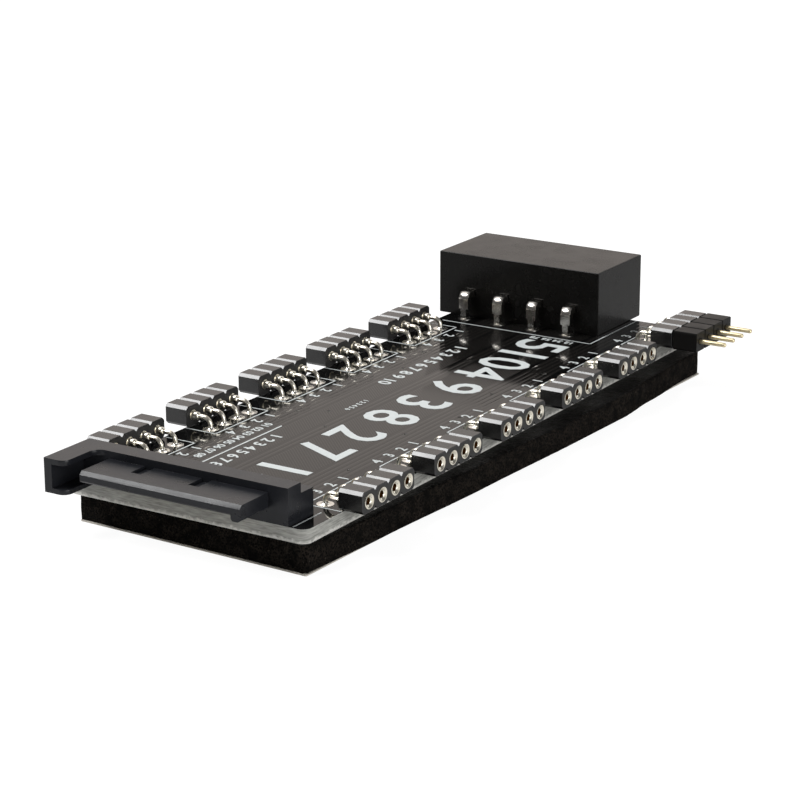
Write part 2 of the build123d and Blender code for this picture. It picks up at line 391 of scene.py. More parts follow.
class Shading:
    """Adds and links the nodes of one material, world or node group."""

    def __init__(self, tree: bpy.types.NodeTree) -> None:
        """Keeps the tree that the nodes go into."""
        self.tree = tree

    def node(self, kind: str, **settings: object) -> Node:
        """Adds a node and sets its properties."""
        made = self.tree.nodes.new(kind)
        for key, value in settings.items():
            setattr(made, key, value)
        return made

    def feed(self, source: object, target: Socket) -> None:
        """Links a socket to an input, or sets the input to a number or an opaque colour."""
        if isinstance(source, Socket):
            self.tree.links.new(source, target)
        elif target.type == "RGBA":
            target.default_value = (*source, 1.0)
        else:
            target.default_value = source

    def fill(self, node: Node, entries: dict[str, object]) -> None:
        """Feeds several inputs of a node by their names."""
        for name, source in entries.items():
            self.feed(source, node.inputs[name])

    def maths(self, operation: str, *values: object) -> Socket:
        """Adds a Math node over sockets or numbers and returns its result."""
        made = self.node("ShaderNodeMath", operation=operation)
        for index, value in enumerate(values):
            self.feed(value, made.inputs[index])
        return made.outputs[0]

    def remap(
        self, value: object, low: float, high: float, to_low: float, to_high: float
    ) -> Socket:
        """Maps a value from one range to another, held at both ends."""
        made = self.node("ShaderNodeMapRange")
        for index, entry in enumerate((value, low, high, to_low, to_high)):
            self.feed(entry, made.inputs[index])
        return made.outputs[0]

    def blend(self, share: object, first: object, second: object) -> Socket:
        """Mixes two colours by a share."""
        made = self.node("ShaderNodeMix", data_type="RGBA")
        for index, entry in ((0, share), (6, first), (7, second)):
            self.feed(entry, made.inputs[index])
        return made.outputs[2]

    def axes(self, vector: Socket) -> Sequence[Socket]:
        """Splits a vector into its X, Y and Z."""
        split = self.node("ShaderNodeSeparateXYZ")
        self.feed(vector, split.inputs[0])
        return split.outputs

    def facing(self, kind: str = "Normal") -> Sequence[Socket]:
        """Gives the X, Y and Z of the way that the surface faces."""
        return self.axes(self.node("ShaderNodeNewGeometry").outputs[kind])

    def cloud(self, place: Socket, grain: float, detail: float = 3.0) -> Socket:
        """Adds noise whose grain is given in millimetres, over a place in metres."""
        made = self.node("ShaderNodeTexNoise")
        self.fill(made, {"Vector": place, "Scale": 1.0 / (grain * MM), "Detail": detail})
        return made.outputs["Fac"]

    def bump(self, height: Socket, strength: float, distance: float) -> Socket:
        """Adds a bump of a distance in millimetres and returns its normal."""
        made = self.node("ShaderNodeBump")
        self.fill(made, {"Strength": strength, "Distance": distance * MM, "Height": height})
        return made.outputs["Normal"]

    def grain(self, place: Socket, fine: float, broad: float) -> Sequence[Socket]:
        """Places the shared grain, its sizes in millimetres, and returns its height and patches."""
        made = self.node("ShaderNodeGroup", node_tree=surface_grain_group())
        self.fill(made, {"Place": place, "Fine": fine, "Broad": broad})
        return made.outputs["Height"], made.outputs["Patches"]


def new_material(name: str) -> tuple[Material, Shading, Node, Socket]:
    """Makes a material with its Principled shader and object coordinates.

    Args:
        name: the material's name.

    Returns:
        The material, its shading helper, its shader, and the object coordinates.
    """
    material = bpy.data.materials.new(name)
    material.use_nodes = True
    shading = Shading(material.node_tree)
    shader = next(node for node in material.node_tree.nodes if node.type == "BSDF_PRINCIPLED")
    return material, shading, shader, shading.node("ShaderNodeTexCoord").outputs["Object"]


def surface_grain_group() -> bpy.types.NodeTree:
    """Builds, once, the grain that the finishes share: a fine height and soft patches."""
    group = bpy.data.node_groups.get("surface grain")
    if group:
        return group
    group = bpy.data.node_groups.new("surface grain", "ShaderNodeTree")
    for name, way, kind in (
        ("Place", "INPUT", "Vector"),
        ("Fine", "INPUT", "Float"),
        ("Broad", "INPUT", "Float"),
        ("Height", "OUTPUT", "Float"),
        ("Patches", "OUTPUT", "Float"),
    ):
        group.interface.new_socket(name, in_out=way, socket_type=f"NodeSocket{kind}")
    shading = Shading(group)
    entry = shading.node("NodeGroupInput")
    leave = shading.node("NodeGroupOutput")
    for size, result in (("Fine", "Height"), ("Broad", "Patches")):
        scale = shading.maths("DIVIDE", 1.0 / MM, entry.outputs[size])
        speckle = shading.node("ShaderNodeTexNoise")
        shading.fill(speckle, {"Vector": entry.outputs["Place"], "Scale": scale, "Detail": 3.0})
        shading.feed(speckle.outputs["Fac"], leave.inputs[result])
    return group


def tinted(colour: Triple, factor: float) -> Triple:
    """Multiplies a colour by a factor."""
    return tuple(factor * part for part in colour)


# ---------------------------------------------------------------- finishes
# Grain, patches, relief, tracks, cells and seam widths are in millimetres; seam is in metres.


@dataclass(frozen=True)
class Moulding:
    """A satin plastic moulding with a fine spark-eroded grain."""

    name: str
    colour: Triple
    roughness: float = 0.42
    grain: float = 0.14
    relief: float = 0.02
    specular: float = 0.5
    end_roughness: float = 0.0
    seam: float | None = None
    seam_core: float = 0.1
    seam_edge: float = 0.22
    patch: float = 2.4

    def dull_ends(self, shading: Shading) -> Socket:
        """Gives the roughness of the outer ends, which face sideways, and 0 elsewhere."""
        outward = shading.maths("ABSOLUTE", shading.facing("True Normal")[0])
        return shading.remap(outward, 0.9, 0.97, 0.0, self.end_roughness)

    def seams(self, shading: Shading, place: Socket) -> Socket:
        """Gives 1 on the moulded seams between cells and 0 elsewhere."""
        along = shading.maths("SUBTRACT", shading.axes(place)[1], self.seam)
        across = shading.maths("PINGPONG", along, SOCKET_PITCH / 2)
        return shading.remap(across, self.seam_core * MM, self.seam_edge * MM, 1.0, 0.0)

    def make(self) -> Material:
        """Builds the plastic's material."""
        material, shading, shader, place = new_material(self.name)
        height, patches = shading.grain(place, self.grain, self.patch)
        gloss = shading.remap(patches, 0.3, 0.7, self.roughness - 0.04, self.roughness + 0.06)
        if self.end_roughness:
            gloss = shading.maths("MAXIMUM", gloss, self.dull_ends(shading))
        if self.seam is not None:
            gloss = shading.maths("MAXIMUM", gloss, self.seams(shading, place))
        dark, light = tinted(self.colour, 0.8), tinted(self.colour, 1.25)
        shading.fill(shader, {
            "Base Color": shading.blend(patches, dark, light),
            "Roughness": gloss,
            "Specular IOR Level": self.specular,
            "Normal": shading.bump(height, 0.35, self.relief),
        })
        return material


@dataclass(frozen=True)
class Plating:
    """A plated metal with a little tarnish and fine drawing marks."""

    name: str
    colour: Triple
    tarnish: Triple
    roughness: float = 0.2
    grain: float = 0.35
    patch: float = 0.9
    relief: float = 0.006

    def make(self) -> Material:
        """Builds the metal's material."""
        material, shading, shader, place = new_material(self.name)
        height, patches = shading.grain(place, self.grain, self.patch)
        share = shading.remap(patches, 0.45, 0.75, 0.0, 0.5)
        shading.fill(shader, {
            "Base Color": shading.blend(share, self.colour, self.tarnish),
            "Metallic": 1.0,
            "Roughness": shading.remap(patches, 0.3, 0.8, self.roughness, self.roughness + 0.1),
            "Normal": shading.bump(height, 0.08, self.relief),
        })
        return material


@dataclass(frozen=True)
class SolderMask:
    """Black glossy solder mask over copper tracks and hatching, with a bare glass-epoxy edge."""

    name: str = "black solder mask"
    bare: Triple = (0.003, 0.003, 0.003)
    over_copper: Triple = (0.013, 0.012, 0.011)
    resin: Triple = (0.2, 0.2, 0.185)
    glass: Triple = (0.44, 0.44, 0.41)
    burr: Triple = (0.75, 0.74, 0.7)
    specular: float = 0.25
    mask_roughness: float = 0.075
    edge_roughness: float = 0.55
    track_pitch: float = 0.74
    track_share: float = 0.62
    track_bands: tuple[Pair, ...] = ((-10.2, -6.4), (-2.6, -1.2), (6.2, 10.0))
    hatch_pitch: float = 0.44
    hatch_share: float = 0.5
    hatch_bands: tuple[Pair, ...] = ((-6.0, -3.0), (-0.8, 5.8))
    blur: float = 0.05
    relief: float = 0.024

    def stripes(self, shading: Shading, run: Socket, pitch: float, share: float) -> Socket:
        """Draws soft-edged stripes across a run.

        Args:
            shading: the material's helper.
            run: the place across the stripes, in millimetres.
            pitch: the step from stripe to stripe.
            share: the part of each step that the stripe fills.

        Returns:
            1 on a stripe and 0 between stripes.
        """
        wave = shading.maths("PINGPONG", run, pitch / 2)
        half = pitch * share / 2
        return shading.remap(wave, half - self.blur, half + self.blur, 1.0, 0.0)

    def band(self, shading: Shading, across: Socket, low: float, high: float) -> Socket:
        """Gives 1 between two places across the board and 0 elsewhere."""
        above = shading.remap(across, low - self.blur, low + self.blur, 0.0, 1.0)
        below = shading.remap(across, high - self.blur, high + self.blur, 1.0, 0.0)
        return shading.maths("MULTIPLY", above, below)

    def copper(self, shading: Shading, place: Socket) -> Socket:
        """Draws the copper under the mask: lengthwise tracks in bands, hatching between them."""
        axes = shading.axes(place)
        across, along = (shading.maths("MULTIPLY", axes[index], 1.0 / MM) for index in (0, 1))
        slant = shading.maths("ADD", across, along)
        tracks = self.stripes(shading, across, self.track_pitch, self.track_share)
        hatch = self.stripes(shading, slant, self.hatch_pitch, self.hatch_share)
        total = 0.0
        for lines, bands in ((tracks, self.track_bands), (hatch, self.hatch_bands)):
            for low, high in bands:
                patch = shading.maths("MULTIPLY", lines, self.band(shading, across, low, high))
                total = shading.maths("MAXIMUM", total, patch)
        return total

    def sawn_edge(self, shading: Shading, place: Socket) -> Socket:
        """Colours the sawn edge: resin, pale glass fibres along it, and a pale burr at its foot."""
        stretch = shading.node("ShaderNodeMapping")
        shading.fill(stretch, {"Vector": place, "Scale": (0.22, 0.22, 2.0)})
        fibres = shading.remap(shading.cloud(stretch.outputs[0], 0.3, 5.0), 0.28, 0.72, 0.0, 1.0)
        ragged = shading.cloud(place, 0.45, 4.0)
        level = shading.maths("MULTIPLY", shading.axes(place)[2], 1.0 / MM)
        foot = shading.remap(shading.maths("ADD", level, ragged), 3.75, 4.05, 0.85, 0.0)
        return shading.blend(foot, shading.blend(fibres, self.resin, self.glass), self.burr)

    def make(self) -> Material:
        """Builds the board's material."""
        material, shading, shader, place = new_material(self.name)
        copper = self.copper(shading, place)
        height, _ = shading.grain(place, 0.25, 6.0)
        upright = shading.maths("ABSOLUTE", shading.facing()[2])
        flat = shading.remap(upright, 0.5, 0.7, 0.0, 1.0)
        mask_colour = shading.blend(copper, self.bare, self.over_copper)
        relief = shading.maths("ADD", copper, shading.maths("MULTIPLY", height, 0.1))
        shading.fill(shader, {
            "Base Color": shading.blend(flat, self.sawn_edge(shading, place), mask_colour),
            "Roughness": shading.remap(flat, 0.0, 1.0, self.edge_roughness, self.mask_roughness),
            "Specular IOR Level": self.specular,
            "Normal": shading.bump(relief, 0.4, self.relief),
        })
        return material


@dataclass(frozen=True)
class CutFoam:
    """Dark open-cell foam, cut with a blade, with a tacky film on its top, which is also painted
    darker as shade.
    """

    name: str = "black foam"
    wall: Triple = (0.014, 0.011, 0.0085)
    pore: Triple = (0.0004, 0.0003, 0.0002)
    dust: Triple = (0.12, 0.1, 0.085)
    specular: float = 0.08
    cell: float = 0.24
    patch: float = 1.3
    speck: float = 0.16
    relief: float = 0.1

    def make(self) -> Material:
        """Builds the foam's material."""
        material, shading, shader, place = new_material(self.name)
        cells = shading.node("ShaderNodeTexVoronoi")
        shading.fill(cells, {"Vector": place, "Scale": 1.0 / (self.cell * MM)})
        pores = shading.remap(cells.outputs["Distance"], 0.3, 0.62, 0.0, 1.0)
        thick = shading.remap(shading.cloud(place, self.patch, 5.0), 0.35, 0.65, 0.1, 1.3)
        walls = shading.maths("MULTIPLY", pores, thick)
        up = shading.facing()[2]
        # Painted shade: the upward-facing top is painted darker than the cut sides.
        painted_top_shade = shading.remap(up, 0.8, 0.95, 1.0, 0.15)
        colour = shading.blend(shading.maths("MULTIPLY", walls, painted_top_shade), self.pore, self.wall)
        specks = shading.remap(shading.cloud(place, self.speck, 1.0), 0.74, 0.78, 0.0, 0.8)
        shading.fill(shader, {
            "Base Color": shading.blend(specks, colour, self.dust),
            "Roughness": shading.remap(up, 0.8, 0.95, 0.9, 0.5),
            "Specular IOR Level": self.specular,
            "Normal": shading.bump(walls, 0.8, self.relief),
        })
        return material


@dataclass(frozen=True)
class PlainCoat:
    """A thin plain layer, such as printed ink or release paper."""

    name: str
    colour: Triple
    roughness: float = 0.5
    mottle: float = 0.12
    grain: float = 0.12
    patch: float = 0.6
    relief: float = 0.01

    def make(self) -> Material:
        """Builds the layer's material."""
        material, shading, shader, place = new_material(self.name)
        height, patches = shading.grain(place, self.grain, self.patch)
        worn = tinted(self.colour, 1.0 - self.mottle)
        shading.fill(shader, {
            "Base Color": shading.blend(patches, worn, self.colour),
            "Roughness": self.roughness,
            "Normal": shading.bump(height, 0.2, self.relief),
        })
        return material


class Finishes:
    """Every material of the board, made once."""

    def __init__(self) -> None:
        """Makes the materials."""
        low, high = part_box("adapter_body")
        self.strip = Moulding(
            "socket strip plastic", (0.007, 0.0068, 0.007), 0.23, 0.2, 0.022, 0.7, 0.6
        ).make()
        self.adapter = Moulding(
            "adapter plastic", (0.004, 0.0036, 0.0032), 0.36, specular=0.13,
            seam=(low[1] + high[1]) / 2,
        ).make()
        self.header = Moulding(
            "power header plastic", (0.005, 0.0047, 0.0043), 0.24, 0.4, 0.02, 0.16
        ).make()
        self.plug = Moulding(
            "slim plug plastic", (0.011, 0.0118, 0.0145), 0.3, 0.2, 0.02, 0.3
        ).make()
        self.ring = Plating("pale gold ring", (0.97, 0.92, 0.79), (0.9, 0.82, 0.64), 0.2).make()
        # The bore finish is the contacts' gold painted dark: painted shade inside the mouth and on
        # the clip.
        self.bore = Plating("gold bore with painted shade", (0.16, 0.07, 0.02), (0.05, 0.02, 0.008), 0.5).make()
        self.gilt = Plating("gilt pin", (0.97, 0.84, 0.55), (0.92, 0.76, 0.45), 0.34).make()
        self.tin = Plating("bright tin", (0.88, 0.84, 0.74), (0.72, 0.65, 0.52), 0.25).make()
        # The header pins' tin is painted darker than the bright tin, as painted shade on their
        # shafts.
        self.pin = Plating("header pin tin with painted shade", (0.62, 0.59, 0.55), (0.42, 0.38, 0.33), 0.18).make()
        self.solder = Plating("solder", (0.86, 0.84, 0.79), (0.68, 0.65, 0.57), 0.2).make()
        self.mask = SolderMask().make()
        self.foam = CutFoam().make()
        self.ink = PlainCoat("white print", (0.62, 0.66, 0.66)).make()
        self.liner = PlainCoat("release paper", (0.6, 0.56, 0.5), 0.6).make()


# ---------------------------------------------------------------- sub-assemblies


def cell_middles(centre_y: float) -> list[float]:
    """Gives the middles of a strip's four cells along the board."""
    return [
        centre_y + SOCKET_PITCH * (index - (SOCKETS_PER_STRIP - 1) / 2)
        for index in range(SOCKETS_PER_STRIP)
    ]


@dataclass(frozen=True)
class StripPlace:
    """Where one socket strip is, read from its solid in the frame."""

    side: Side
    face_x: float
    centre_y: float
    axis_z: float

    @classmethod
    def of_node(cls, name: str) -> StripPlace:
        """Reads a strip's place from its box."""
        low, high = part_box(name)
        side = Side.RIGHT if high[0] > 0 else Side.LEFT
        face_x = high[0] if side is Side.RIGHT else -low[0]
        return cls(side, face_x, (low[1] + high[1]) / 2, (low[2] + high[2]) / 2)


@dataclass
class SocketContacts:
    """The contacts of the socket strips: lathe-turned mouth, spring clip and bent wire tail."""

    finishes: Finishes
    ring_radius: float = 0.84 * MM
    ring_height: float = 0.1 * MM
    rim_width: float = 0.1 * MM
    rim_bevel: float = 0.04 * MM
    bore_radius: float = 0.42 * MM
    funnel_depth: float = 0.22 * MM
    bore_depth: float = 1.9 * MM
    bore_end: float = 0.15 * MM
    barrel_radius: float = 0.6 * MM
    shoulder_radius: float = 0.46 * MM
    strip_depth: float = 3.0 * MM
    shoulder_length: float = 0.9 * MM
    dome: tuple[Pair, ...] = ((0.07 * MM, 0.92), (0.08 * MM, 0.82), (0.07 * MM, 0.7))
    clip_length: float = 0.9 * MM
    clip_wall: float = 0.05 * MM
    wire_radius: float = 0.28 * MM
    bend_radius: float = 0.95 * MM
    tail_below: float = 1.5 * MM

    def turned_body(self) -> Piece:
        """Models the turned part along +X, with the strip's outer face at X 0."""
        body = add_rod("turned_body", self.ring_radius, (0, 0, 0), (self.ring_height, 0, 0), 40)
        front = (self.ring_height, 0.0, 0.0)
        throat = self.ring_height - self.funnel_depth
        funnel_scale = self.bore_radius / (self.ring_radius - self.rim_width)
        dome_length = sum(length for length, _ in self.dome)
        with editing(body):
            pick_edges(
                body, lambda middle, way: middle.x > 0.9 * self.ring_height and abs(way.x) < 0.1
            )
            bpy.ops.mesh.bevel(offset=self.rim_bevel, segments=2, affect="EDGES")
            pick_faces(body, lambda middle, way: way.x > FACING)
            bpy.ops.mesh.inset(thickness=self.rim_width - self.rim_bevel)
            pull_faces((-self.funnel_depth, 0, 0), funnel_scale, front)
            pull_faces((-self.bore_depth, 0, 0), 1.0, front)
            pull_faces((-self.bore_end, 0, 0), 0.4, (throat - self.bore_depth, 0, 0))
            pick_faces(body, lambda middle, way: way.x < -FACING)
            bpy.ops.mesh.inset(thickness=self.ring_radius - self.barrel_radius)
            reach = 0.0
            for length, scale in (
                (self.strip_depth, 1.0),
                (0.02 * MM, self.shoulder_radius / self.barrel_radius),
                (self.shoulder_length - dome_length, 1.0),
                *self.dome,
            ):
                pull_faces((-length, 0, 0), scale, (-reach, 0, 0))
                reach += length
        dress(body, self.finishes.ring, self.finishes.bore, self.finishes.tin)
        # The faces deep in the bore take the bore finish, gold painted dark as shade.
        paint_faces(
            body, 1, lambda middle, way: math.hypot(middle.y, middle.z) < 1.02 * self.bore_radius
            and middle.x < throat - 0.01 * MM
        )
        paint_faces(body, 2, lambda middle, way: middle.x < -self.strip_depth)
        return body

    def spring_clip(self) -> Piece:
        """Models the four-fingered clip inside the bore, from a cone of 16 sides."""
        clear_selection()
        bpy.ops.mesh.primitive_cone_add(
            vertices=16,
            radius1=0.98 * self.bore_radius,
            radius2=0.45 * self.bore_radius,
            depth=self.clip_length,
            end_fill_type="NOTHING",
            location=(self.ring_height - self.funnel_depth - 0.75 * MM, 0, 0),
            rotation=(0, -math.pi / 2, 0),
        )
        clip = named_active("spring_clip")

        def in_slit(middle: Vector, way: Vector) -> bool:
            """Says whether a face is in one of the slits between the fingers."""
            return round(math.degrees(math.atan2(middle.z, middle.y)) / 22.5 - 0.5) % 4 == 0

        with editing(clip):
            pick_faces(clip, in_slit)
            bpy.ops.mesh.delete(type="FACE")
        wall = clip.modifiers.new("wall", "SOLIDIFY")
        wall.thickness = self.clip_wall
        take(clip)
        bpy.ops.object.modifier_apply(modifier="wall")
        # The clip takes the bore finish, gold painted dark as shade.
        return dress(clip, self.finishes.bore)

    def bent_tail(self, overhang: float, height: float) -> Piece:
        """Models the wire tail, from the shoulder over and down through the board.

        Args:
            overhang: how far the strip's outer face stands out from the board's edge.
            height: how high the contact's axis is above the board.

        Returns:
            The tail's mesh.
        """
        clear_selection()
        bpy.ops.curve.primitive_bezier_curve_add(location=(0, 0, 0))
        curve = bpy.context.object
        root_x = -(self.strip_depth + self.shoulder_length + 0.1 * MM)
        drop_x = -(overhang + TAIL_INSET)
        handle = 0.5523 * self.bend_radius  # makes the bend a quarter circle
        spline = curve.data.splines[0]
        spline.bezier_points.add(2)
        route = (
            ((root_x, 0.0), (0.4 * MM, 0.0)),
            ((drop_x + self.bend_radius, 0.0), (handle, 0.0)),
            ((drop_x, -self.bend_radius), (0.0, handle)),
            ((drop_x, -(height + self.tail_below)), (0.0, 0.3 * MM)),
        )
        for point, ((x, z), (back_x, back_z)) in zip(spline.bezier_points, route):
            point.handle_left_type = point.handle_right_type = "FREE"
            point.co = (x, 0.0, z)
            point.handle_left = (x + back_x, 0.0, z + back_z)
            point.handle_right = (x - back_x, 0.0, z - back_z)
        spline.resolution_u = 8
        curve.data.dimensions = "3D"
        curve.data.bevel_depth = self.wire_radius
        curve.data.bevel_resolution = 4
        curve.data.use_fill_caps = True
        bpy.ops.object.convert(target="MESH")
        return dress(named_active("bent_tail"), self.finishes.tin)

    def pattern(self, overhang: float, height: float) -> Piece:
        """Joins one whole contact along +X."""
        parts = [self.turned_body(), self.spring_clip(), self.bent_tail(overhang, height)]
        return turn_outwards(smooth(join_pieces(parts, "contact_pattern"), 40))

    def strip_set(self, name: str, pattern: Piece, strip: StripPlace) -> Piece:
        """Copies the pattern to the four cells of one strip.

        Args:
            name: the finished piece's name.
            pattern: the contact along +X.
            strip: where the strip is.

        Returns:
            The strip's four contacts as one piece.
        """
        turn = Matrix.Rotation(0.0 if strip.side is Side.RIGHT else math.pi, 4, "Z")
        return spread(pattern, name, (
            Matrix.Translation((strip.side.value * strip.face_x, y, strip.axis_z)) @ turn
            for y in cell_middles(strip.centre_y)
        ))


@dataclass
class SolderJoints:
    """Solder: a low bright pad with a small hollow fillet round every wire."""

    finishes: Finishes
    pad_radius: float = 0.95 * MM
    pad_height: float = 0.035 * MM
    strip_fillet: float = 0.3 * MM
    header_fillet: float = 0.22 * MM
    flank: tuple[Pair, ...] = (
        (0.05, 0.78), (0.1, 0.72), (0.2, 0.74), (0.3, 0.82), (0.35, 0.9)
    )

    def cone(self, name: str, fillet: float) -> Piece:
        """Models one joint with a hollow flank, standing on Z 0.

        Args:
            name: the joint's name.
            fillet: how high its solder climbs above the pad.

        Returns:
            The joint.
        """
        joint = add_rod(name, self.pad_radius, (0, 0, -0.02 * MM), (0, 0, self.pad_height))
        with editing(joint):
            pick_faces(joint, lambda middle, way: way.z > FACING)
            bpy.ops.mesh.inset(thickness=0.12 * self.pad_radius)
            level = self.pad_height
            for rise, scale in self.flank:
                pull_faces((0, 0, rise * fillet), scale, (0, 0, level))
                level += rise * fillet
        return dress(smooth(joint, 60), self.finishes.solder)


@dataclass
class BoardPrint:
    """White print on the board: boxes round the strips, plain numbers and thin rules."""

    finishes: Finishes
    level: float = BOARD_TOP
    thickness: float = 0.02 * MM
    line_width: float = 0.16 * MM
    capital_share: float = 0.73
    box_margin: float = 0.15 * MM
    box_near: float = 4.9 * MM
    box_far: float = 5.45 * MM
    pin_height: float = 1.35 * MM
    pin_gap: float = 1.15 * MM
    pin_shift: float = 0.3 * MM
    output_height: float = 7.0 * MM
    output_x: float = 2.1 * MM
    output_shift: float = 3.4 * MM
    last_output_y: float = -34.6 * MM
    # Each rule: its name, its two ends across and along the board, and its width, in millimetres.
    middle_rules: tuple[Rule, ...] = (
        ("rule", -6.5, -35.0, -6.5, -17.4, 0.2),
    )
    connector_rules: tuple[Rule, ...] = (
        ("header_near", -14.5, 31.6, 7.4, 31.6, 0.16),
        ("header_right", 7.4, 31.6, 7.4, 44.5, 0.16),
        ("plug_right", 13.75, -44.4, 13.75, -39.4, 0.16),
        ("plug_far", -14.2, -37.9, 11.0, -37.9, 0.16),
    )
    # Each row of figures: its text, its height, and its middle across and along the board.
    rows: tuple[tuple[str, float, float, float], ...] = (
        ("01 02 03 04 05 06 07 08", 1.05, -8.2, -24.4),
        ("1 2 3 4 5 6 7 8", 1.55, -4.9, -26.6),
        ("1 2 3 4 5 6 7 8 9 10", 1.75, -5.8, 12.4),
        ("1 2 3 4 5 6", 0.75, -3.6, -6.0),
    )

    def line(
        self, name: str, start: Pair, end: Pair, width: float
    ) -> Piece:
        """Draws a straight line of print between two places on the board.

        Args:
            name: the line's name.
            start: its first end, across and along the board.
            end: its other end.
            width: its width.

        Returns:
            The line.
        """
        low = [min(a, b) - width / 2 for a, b in zip(start, end)]
        high = [max(a, b) + width / 2 for a, b in zip(start, end)]
        bar = add_box(name, (*low, self.level), (*high, self.level + self.thickness))
        with editing(bar):
            pick_edges(bar, lambda middle, way: abs(way.z) > 0.9)
            bpy.ops.mesh.bevel(offset=0.35 * width, segments=2, affect="EDGES")
        return bar

    def draw_rules(self, rules: Iterable[Rule]) -> list[Piece]:
        """Draws the rules of a table in millimetres."""
        return [
            self.line(name, (x * MM, y * MM), (end_x * MM, end_y * MM), width * MM)
            for name, x, y, end_x, end_y, width in rules
        ]

    def number(
        self, text: str, height: float, x: float, y: float, turn: float, weight: float
    ) -> Piece:
        """Draws a number, centred on a place on the board.

        Args:
            text: the figures.
            height: the height of the figures.
            x: the place across the board.
            y: the place along the board.
            turn: how far the figures are turned, in degrees.
            weight: how much the strokes are thickened.

        Returns:
            The number's mesh.
        """
        clear_selection()
        bpy.ops.object.text_add(location=(0, 0, 0))
        letters = bpy.context.object
        letters.data.body = text
        letters.data.size = height / self.capital_share
        letters.data.offset = weight
        letters.data.align_x = "CENTER"
        letters.data.align_y = "CENTER"
        letters.data.resolution_u = 3
        letters.data.extrude = self.thickness / 2
        bpy.ops.object.convert(target="MESH")
        figure = named_active("figures")
        place = Matrix.Translation((x, y, self.level + self.thickness / 2))
        figure.data.transform(place @ Matrix.Rotation(math.radians(turn), 4, "Z"))
        return figure

    def strip_box(self, strip: StripPlace) -> list[Piece]:
        """Draws the box and the four pin numbers beside one strip.

        Args:
            strip: where the strip is.

        Returns:
            The box's lines and the numbers.
        """
        side = strip.side
        edge = side.value * (BOARD_HALF_WIDTH - self.box_margin)
        inner = side.value * (BOARD_HALF_WIDTH - BOX_DEPTHS[side])
        near, far = strip.centre_y - self.box_near, strip.centre_y + self.box_far
        label_x = inner - side.value * self.pin_gap
        parts = [
            self.line("box_near", (edge, near), (inner, near), self.line_width),
            self.line("box_far", (edge, far), (inner, far), self.line_width),
            self.line("box_inner", (inner, near), (inner, far), self.line_width),
        ]
        for index, y in enumerate(cell_middles(strip.centre_y)):
            text, label_y = str(SOCKETS_PER_STRIP - index), y + self.pin_shift
            turn = 90 * side.value
            parts.append(self.number(text, self.pin_height, label_x, label_y, turn, 0.035 * MM))
        return parts

    def middle_marks(self, centres: Sequence[float]) -> list[Piece]:
        """Draws two large output numbers to each row, one rule and the rows of small figures."""
        parts = []
        for index, middle in enumerate(centres):
            for number, way in ((index + 1, 1), (index + 1 + ROWS_PER_SIDE, -1)):
                x, y = self.output_x, max(middle + way * self.output_shift, self.last_output_y)
                parts.append(self.number(str(number), self.output_height, x, y, -90, 0.1 * MM))
        parts += self.draw_rules(self.middle_rules)
        for text, height, x, y in self.rows:
            size = height * MM
            parts.append(self.number(text, size, x * MM, y * MM, -90, 0.03 * size))
        return parts

    def connector_marks(self) -> list[Piece]:
        """Draws the outlines round the header and the plug, and the header's row of figures."""
        return self.draw_rules(self.connector_rules) + [
            self.number("12 34 56 78", 0.95 * MM, 2.4 * MM, 30.6 * MM, 180, 0.03 * MM)
        ]

    def build(self, strips: Sequence[StripPlace]) -> Piece:
        """Joins all the print into one piece.

        Args:
            strips: where every strip is, the output strips of one side first.

        Returns:
            The print.
        """
        centres = [strip.centre_y for strip in strips[:ROWS_PER_SIDE]]
        parts = self.middle_marks(centres) + self.connector_marks()
        for strip in strips:
            parts += self.strip_box(strip)
        return dress(join_pieces(parts, "board_print"), self.finishes.ink)


@dataclass
class BoardVias:
    """Small plated holes under the mask, along the tracks."""

    finishes: Finishes
    radius: float = 0.3 * MM
    rim_height: float = 0.025 * MM
    # Across and along the board, in millimetres.
    places: tuple[Pair, ...] = (
        (-9.2, -30.1), (-7.6, -24.4), (-8.3, -11.6), (-9.4, 2.6), (-7.1, 9.8), (-8.8, 17.3),
        (7.4, -34.2), (8.6, -26.3), (7.1, -12.4), (9.1, -3.7), (7.7, 6.2), (8.9, 16.9),
        (-4.4, -36.0), (-2.2, -14.8), (-5.1, -9.7), (6.9, 24.1),
    )

    def build(self) -> Piece:
        """Models one via as a low rim with a dimple and copies it to its places."""
        via = add_rod("via", self.radius, (0, 0, -0.02 * MM), (0, 0, self.rim_height), 16)
        with editing(via):
            pick_faces(via, lambda middle, way: way.z > FACING)
            bpy.ops.mesh.inset(thickness=0.5 * self.radius)
            pull_faces((0, 0, -0.03 * MM), 0.7, (0, 0, self.rim_height))
        dress(smooth(via, 50), self.finishes.mask)
        vias = spread(via, "board_vias", on_board((x * MM, y * MM) for x, y in self.places))
        bpy.data.objects.remove(via)
        return vias


